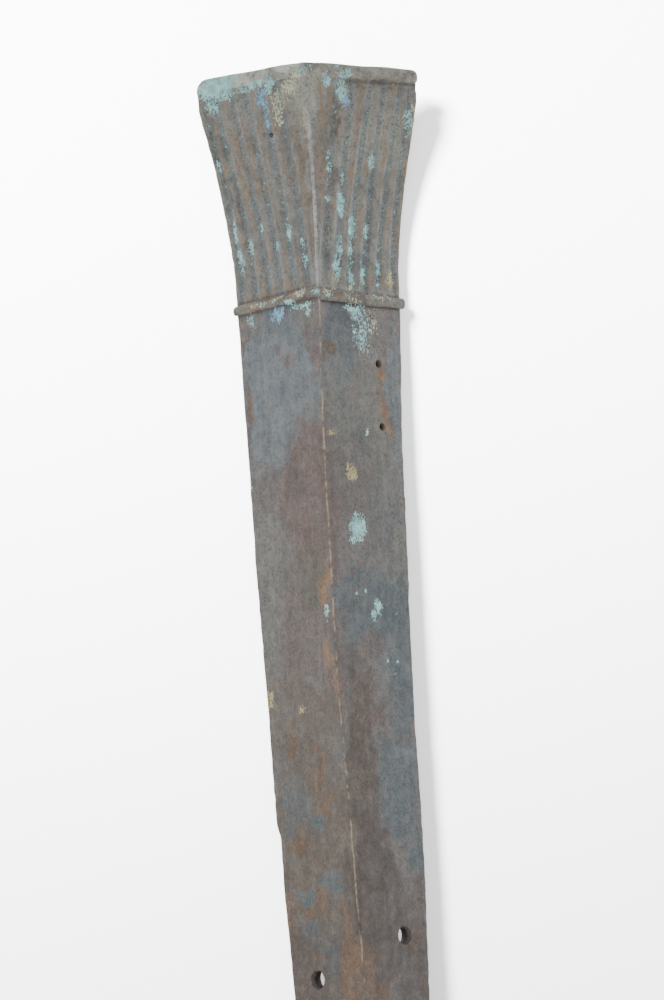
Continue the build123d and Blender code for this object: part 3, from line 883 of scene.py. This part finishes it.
# %% Rusted cast iron
def rusted_iron(name, contrast, groove_colour, rib_colour):
    """Sand-cast iron under old paint: rough, dull and mottled, with blue-grey in the hollows where
    paint stays longest, brown on the ridges where it is rubbed off, and flakes of paint on top."""
    material, tree = start_material(name)
    here = add(tree, "TexCoord")["Object"]
    clouds = grain(tree, here, 26, 4)
    mottle = grain(tree, here, 7, 5)
    streaks = grain(tree, here, 5, 4, stretch=7)
    speckle = grain(tree, here, 1.9, 3)
    grit = grain(tree, here, 0.9, 2)
    chips = grain(tree, here, 1.4, 3, stretch=1.6)
    laid = {
        name: add(tree, "Attribute", attribute_name=name)
        for name in ("ground", "paint", "flakes", "hollow", "crust")
    }
    colour = laid["ground"]["Color"]
    hollow = laid["hollow"]["Fac"]

    stains = (  # a colour, and the patterns that share it out
        (groove_colour, (hollow, 0.0, 0.95, 0, 1), (mottle, 0.36, 0.6, 0.15, 0.62)),
        (rib_colour, (hollow, -0.05, -0.6, 0, 1), (streaks, 0.4, 0.62, 0.2, 0.9)),
        (orange_rust, (hollow, -0.05, -0.45, 0, 1), (streaks, 0.51, 0.63, 0, 0.42)),
        (rust, (mottle, 0.55, 0.72, 0, 1), (clouds, 0.42, 0.6, 0.05, 0.5)),
        (slate, (mottle, 0.45, 0.3, 0, 0.45)),
    )
    for stain, *ranges in stains:
        colour = coat(tree, colour, stain, carry(tree, *ranges))
    weights = ((clouds, 0.5), (mottle, 0.9), (streaks, 0.6), (speckle, 0.9))
    shade = sway(tree, 1.0, *((pattern, weight * contrast) for pattern, weight in weights))
    colour = add(tree, "HueSaturation", {"Color": colour, "Value": shade})[0]
    crusty = (speckle, 0.46, 0.34, 0, 1), (clouds, 0.38, 0.62, 0.07, 0.28), (hollow, 0.0, 0.95, 1, 1.9)
    colour = coat(tree, colour, black_crust, carry(tree, *crusty))
    # This layer darkens the inner faces a little and is painted shade in the bores and by the bead and
    # roll.
    colour = coat(tree, colour, deep_crust, laid["crust"]["Fac"])
    dusty = (grit, 0.62, 0.72, 0, 1), (hollow, 0.0, 0.95, 0.22, 0.57)
    colour = coat(tree, colour, dust, carry(tree, *dusty))

    border = sway(tree, laid["flakes"]["Fac"], (chips, 9.0), (mottle, 2.2))
    painted = carry(tree, (border, 0.3, 0.5, 0, 1), (speckle, 0.34, 0.42, 0, 1))
    faded = {"Color": laid["paint"]["Color"], "Value": carry(tree, (mottle, 0.34, 0.66, 0.76, 1.22))}
    paint = add(tree, "HueSaturation", faded)[0]
    colour = coat(tree, colour, paint, painted)

    height = sway(tree, 0.0, (speckle, 0.00042), (grit, 0.00022), (mottle, 0.0006), (painted, 0.00016))
    smoother = {0: painted, 1: -0.12, 2: carry(tree, (mottle, 0.3, 0.7, 0.84, 0.7))}
    rough = add(tree, "Math", smoother, operation="MULTIPLY_ADD")[0]
    finish_material(tree, colour, rough, height, specular=0.25)
    return material


plate_iron = rusted_iron("rusted_cast_iron_plate", 1.0, slate, brown)
head_iron = rusted_iron("rusted_cast_iron_flutes", 1.0, groove_slate, rib_dun)
moulding_iron = rusted_iron("rusted_cast_iron_moulding", 1.1, slate, moulding_brown)
filler_iron = rusted_iron("rubbed_ochre_filler", 0.8, umber, brown)
ridge_iron = rusted_iron("rubbed_cast_iron_ridge", 1.2, umber, brown)
print("nodes in the plate's iron", len(plate_iron.node_tree.nodes))


# %% [markdown]
# ## Plain rust
# The cleats, splices and screws never had paint. Rolled iron rusts to an even, matt brown with
# darker scale, which lies in lumps as wide as grain_size, in millimetres.

# %% Rusty fasteners and cleats
def plain_rust(name, light, dark, grain_size, metallic):
    """Rolled iron or steel under an even brown rust: matt, with darker scale and brighter specks."""
    material, tree = start_material(name)
    here = add(tree, "TexCoord")["Object"]
    scale = grain(tree, here, grain_size, 5)
    speckle = grain(tree, here, grain_size / 5, 3)
    colour = coat(tree, dark, light, carry(tree, (scale, 0.36, 0.64, 0, 1)))
    colour = coat(tree, colour, rust, carry(tree, (speckle, 0.58, 0.7, 0, 0.6)))
    height = sway(tree, 0.0, (speckle, 0.0003), (scale, 0.0004))
    rough = carry(tree, (scale, 0.3, 0.7, 0.62, 0.85))
    finish_material(tree, colour, rough, height, metallic=metallic)
    return material


cleat_rust = plain_rust("brown_rusted_wrought_iron", "#56453b", "#332a26", 8, 0.0)
screw_rust = plain_rust("rusted_steel_screw", "#5e5044", "#38302b", 3, 0.3)
print("materials", [material.name for material in bpy.data.materials])

# %% [markdown]
# ## Hollows and painted shade
# Each piece says how deep a place lies, which turns the groove and rib colours on, and where it is
# darkened: a little on the inside, and with painted shade in the bores and in the lines along the
# bead and under the roll.

# %% Colours on the pieces
def no_crust(s, y, z):
    return 0 * s


def behind(s, y, z):
    """Darkens the inner faces and the deep half of the bores a little, and not the outer skin."""
    outer = arris_y + np.abs(s) * np.sin(face_angle(z))
    return ease(y - outer, 5.5, 9.5) * 0.2


def shaft_crust(s, y, z):
    dark = behind(s, y, z)
    outer = arris_y + np.abs(s) * np.sin(square)
    # Painted shade: the bores darken with depth, as a recess does.
    for side, along, height, radius, *_ in shaft_bores:
        inside = ease(np.hypot(s - side * along, z - height), radius + 1.6, radius + 0.4)
        dark = np.maximum(dark, 0.75 * inside * ease(y - outer, 2.5, 8))
    # Painted shade: a dark line where the bead meets the plate, stronger on the right.
    shade_under_bead = bell(z - np.where(s > 0, 714.2, 716.6), 1.7)
    return np.maximum(dark, shade_under_bead * np.where(s > 0, 0.7, 0.45))


def head_crust(s, y, z):
    """Darkens the inside a little, and paints shade in the lines above the bead and under the right
    roll.
    """
    shade_over_bead = 0.4 * bell(z - np.where(s > 0, 724.4, 727.0), 1.3)
    shade_under_roll = 0.5 * bell(z - 898.0, 1.4) * ease(s, 26, 44)
    return np.maximum(behind(s, y, z), np.maximum(shade_over_bead, shade_under_roll))


def head_hollow(s, y, z):
    """Over 1 in the flutes, -0.6 on the ribs between them, and 0 where the face is plain."""
    side_of = np.sign(s)
    depth = np.where(side_of < 0, troughs(-1, -s, z), troughs(1, s, z))
    fluted = ease(z, 724, 732) * (1 - ease(z, *flute_stop)) * ease(np.abs(s), 4, 14)
    return (2 * depth - 0.6) * fluted


for side in (-1, 1):
    lay_colours(shaft_plates[side], shaft_base, shaft_ground, no_crust, shaft_crust)
    lay_colours(head_panels[side], head_base, head_ground, head_hollow, head_crust)
for bar in (left_bead, right_bead):
    lay_colours(bar, bead_base, bead_ground, no_crust, no_crust)
for bar, base in ((left_rim, left_rim_base), (right_rim, right_rim_base)):
    lay_colours(bar, base, head_ground, no_crust, no_crust)


# %% [markdown]
# ## The rubbed arris
# The filler shows as a thin pale line that breaks off again and again, and in the head as a
# broader grey ridge. Both are painted on the strips' own vertices, which lie closely enough.

# %% Colours of the arris strips
def rub_arris(piece, base, ground, crest_colour, crest_width, strength, gaps, seed):
    """Colours a strip like its neighbours, with a pale crest that fades across it as a bell
    and breaks off where noise along the strip is low."""
    s, y, z = unfolded(piece)
    middle = arris_drift(z) + 0.35 * wander(z, 8, seed)
    across = s * np.cos(face_angle(z)) - middle
    grains = wander(z, 15, seed + 1) + 0.7 * wander(z, 3, seed + 2)
    kept = strength(z) + gaps * grains
    share = bell(across, crest_width) * np.clip(kept, 0.05, 1)
    under = ground_colours(s, z, base, ground)
    crest = np.tile(linear(crest_colour), (len(s), 1))
    rubbed = under + (crest - under) * share[:, None]
    write(piece, ground=rubbed, paint=crest, flakes=np.full(len(s), bare), hollow=0 * s, crust=0 * s)


def seam_strength(z):
    heights = (155, 200, 240, 285, 310, 340, 380, 410, 440, 480, 560, 690, 712)
    return line(z, heights, (0.4, 0.5, 0.3, 0.8, 0.7, 0.5, 1.0, 1.0, 0.6, 0.4, 0.7, 0.7, 0.4))


def ridge_strength(z):
    return 0.85 * ease(z, 722, 745) * (1 - 0.9 * ease(z, 850, 872))


rub_arris(seam, shaft_base, shaft_ground, crest_ochre, 0.55, seam_strength, 0.8, 100)
rub_arris(rib, head_base, head_ground, crest_grey, 2.0, ridge_strength, 0.35, 104)

# %% [markdown]
# ## Riding on the frame
# Each new piece rides on the one body, stands in for its CAD node, which is hidden, and gets the
# material listed beside it. The nodes that stay keep their shapes and only get a material.

# %% Pieces and nodes
pieces = (
    (shaft_plates[-1], "left_shaft_plate", "shaft_iron", plate_iron),
    (shaft_plates[1], "right_shaft_plate", "shaft_iron", plate_iron),
    (head_panels[-1], "left_head_panel", "head_iron", head_iron),
    (head_panels[1], "right_head_panel", "head_iron", head_iron),
    (left_bead, "left_neck_bead", "moulding_iron", moulding_iron),
    (right_bead, "right_neck_bead", "moulding_iron", moulding_iron),
    (left_rim, "left_rim_roll", "moulding_iron", moulding_iron),
    (right_rim, "right_rim_roll", "moulding_iron", moulding_iron),
    (seam, "shaft_arris_seam", "seam_filler", filler_iron),
    (rib, "head_arris_rib", "seam_filler", ridge_iron),
    (bead_pin_set, "bead_pins", "fastener_steel", screw_rust),
    (rim_pin_set, "rim_pins", "fastener_steel", screw_rust),
)
for piece, node, slot, material in pieces:
    piece.data.materials.append(material)
    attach(piece, "root")
    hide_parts(node)

replaced = {row[1] for row in pieces}
for name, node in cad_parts.items():
    if name in replaced:
        continue
    material = screw_rust if "screws" in name or "pins" in name else cleat_rust
    node.data.materials.clear()
    node.data.materials.append(material)
    print(name, "keeps its shape, as", material.name)

# %% [markdown]
# ## Stage
# A white wall stands just behind the casing, so that it catches a soft narrow shadow, as when the
# casing lies on a sheet. Its back is clear, so that it hides nothing in a view from behind. It
# is darker towards its foot, which is painted shade, and for the camera it has a faint painted
# glow, though it is no lamp, which lightens its shadows and shows light through the bolt holes.

# %% Stage
def floor_material(name, hex_colour):
    material, tree = start_material(name)
    shader = add(tree, "BsdfDiffuse", {"Color": (*linear(hex_colour), 1.0)})
    add(tree, "OutputMaterial", {"Surface": shader[0]})
    return material


def backdrop_material(name, hex_colour):
    """Matt paper, seen from the front only, with painted shade at its foot and a painted glow."""
    material, tree = start_material(name)
    here = add(tree, "TexCoord")["Object"]
    level = add(tree, "SeparateXYZ", {"Vector": here})["Z"]
    # Painted shade: the sheet grows darker towards its foot.
    sheet = coat(tree, hex_colour, foot_shade_grey, carry(tree, (level, 0.0, 0.95, 0.55, 0.0)))
    lit = add(tree, "BsdfDiffuse", {"Color": sheet})[0]
    # A painted glow, though the sheet is no lamp: the camera sees it brighter, also in its shadows and
    # through the bolt holes.
    glow = add(tree, "Emission", {"Color": (1, 1, 1, 1), "Strength": 0.85})[0]
    shown = add(tree, "AddShader", {0: lit, 1: glow})[0]
    dim = add(tree, "BsdfDiffuse", {"Color": (0.25, 0.25, 0.25, 1)})[0]
    ray = add(tree, "LightPath")
    shader = add(tree, "MixShader", {0: ray["Is Camera Ray"], 1: dim, 2: shown})[0]
    behind_it = add(tree, "NewGeometry")["Backfacing"]
    either = {0: behind_it, 1: ray["Is Shadow Ray"]}
    clear = add(tree, "Math", either, operation="MAXIMUM")[0]
    nothing = add(tree, "BsdfTransparent")[0]
    shader = add(tree, "MixShader", {0: clear, 1: shader, 2: nothing})
    add(tree, "OutputMaterial", {"Surface": shader[0]})
    return material


def stage_sheet(name, corners, material):
    mesh = bpy.data.meshes.new(name)
    mesh.from_pydata(corners, [], [(0, 1, 2, 3)])
    mesh.materials.append(material)
    sheet = bpy.data.objects.new(name, mesh)
    bpy.context.scene.collection.objects.link(sheet)
    return sheet


# The grey of the painted shade at the backdrop's foot.
foot_shade_grey = (0.1, 0.1, 0.1, 1.0)
wall_y = cad_box[1].y + 0.004
reach = 6.0  # metres, as all sizes of the stage and the lights are
wide, high = 3.0, 3.2
stage_sheet(
    "floor", [(-reach, -reach, 0), (reach, -reach, 0), (reach, reach, 0), (-reach, reach, 0)],
    floor_material("matt_white_floor", "#e8e8e6"),
)
backdrop = stage_sheet(
    "backdrop", [(-wide, wall_y, 0), (wide, wall_y, 0), (wide, wall_y, high), (-wide, wall_y, high)],
    backdrop_material("matt_white_sheet", "#f2f4f5"),
)
print("backdrop stands at y", round(wall_y, 4))

# %% [markdown]
# ## Light
# The air itself gives a little light. Broad soft lamps stand in front, to the left, to the right
# and above, and two more fill the back. A strong lamp from the left lights only the backdrop,
# where it throws the casing's shadow.

# %% Air
world = bpy.data.worlds.new("studio")
bpy.context.scene.world = world
world.use_nodes = True
air = world.node_tree
air.nodes.clear()
seen = add(air, "LightPath")["Is Camera Ray"]
glow = carry(air, (seen, 0, 1, 0.45, 8.0))  # far brighter where only the camera sees it
sky_light = add(air, "Background", {"Color": (0.97, 0.985, 1.0, 1.0), "Strength": glow})
add(air, "OutputWorld", {"Surface": sky_light[0]})


# %% Lamps
def soft_light(name, place_at, aim_height, size, watts):
    """A round lamp that is aimed at the middle plane."""
    lamp = bpy.data.lights.new(name, "AREA")
    lamp.shape = "DISK"
    lamp.size = size
    lamp.energy = watts
    light = bpy.data.objects.new(name, lamp)
    bpy.context.scene.collection.objects.link(light)
    light.location = place_at
    direction = Vector((0, 0, aim_height)) - Vector(place_at)
    light.rotation_euler = direction.to_track_quat("-Z", "Y").to_euler()
    return light


soft_light("window_left", (-1.2, -1.7, 1.9), 0.8, 1.2, 11.5)
soft_light("sheet_right", (1.3, -1.8, 1.8), 0.8, 1.4, 9)
soft_light("ceiling_front", (0.1, -2.3, 1.7), 0.85, 1.5, 13)
soft_light("back_fill_left", (-1.8, 2.2, 1.6), 0.5, 2.0, 85)
soft_light("back_fill_right", (2.2, 1.8, 1.2), 0.5, 2.0, 60)
wash = soft_light("backdrop_wash", (-1.6, -2.5, 2.2), 0.8, 1.0, 1350)
fill = soft_light("backdrop_fill", (0.8, -3.0, 2.0), 0.8, 3.0, 45)
washed = bpy.data.collections.new("washed_backdrop")
washed.objects.link(backdrop)
for light in (wash, fill):
    light.light_linking.receiver_collection = washed

# %% [markdown]
# ## Camera
# A long lens stands low and close to the middle plane, tilted up and turned a little.

# %% Camera
camera_data = bpy.data.cameras.new("camera")
camera_data.sensor_fit = "VERTICAL"
camera_data.sensor_height = 36
camera_data.lens = 97.2
camera_data.clip_start = 0.05
camera = bpy.data.objects.new("camera", camera_data)
bpy.context.scene.collection.objects.link(camera)
camera_distance = 2.160
camera_height = 0.318
pitch = math.radians(6.146)
roll = math.radians(3.656)
camera.matrix_world = (
    Matrix.Translation((0, arris_y / 1000 - camera_distance, camera_height))
    @ Matrix.Rotation(math.radians(90) + pitch, 4, "X")
    @ Matrix.Rotation(-roll, 4, "Z")
)
bpy.context.scene.camera = camera
print("lens", round(camera_data.lens, 1), "mm at", camera_distance, "m")
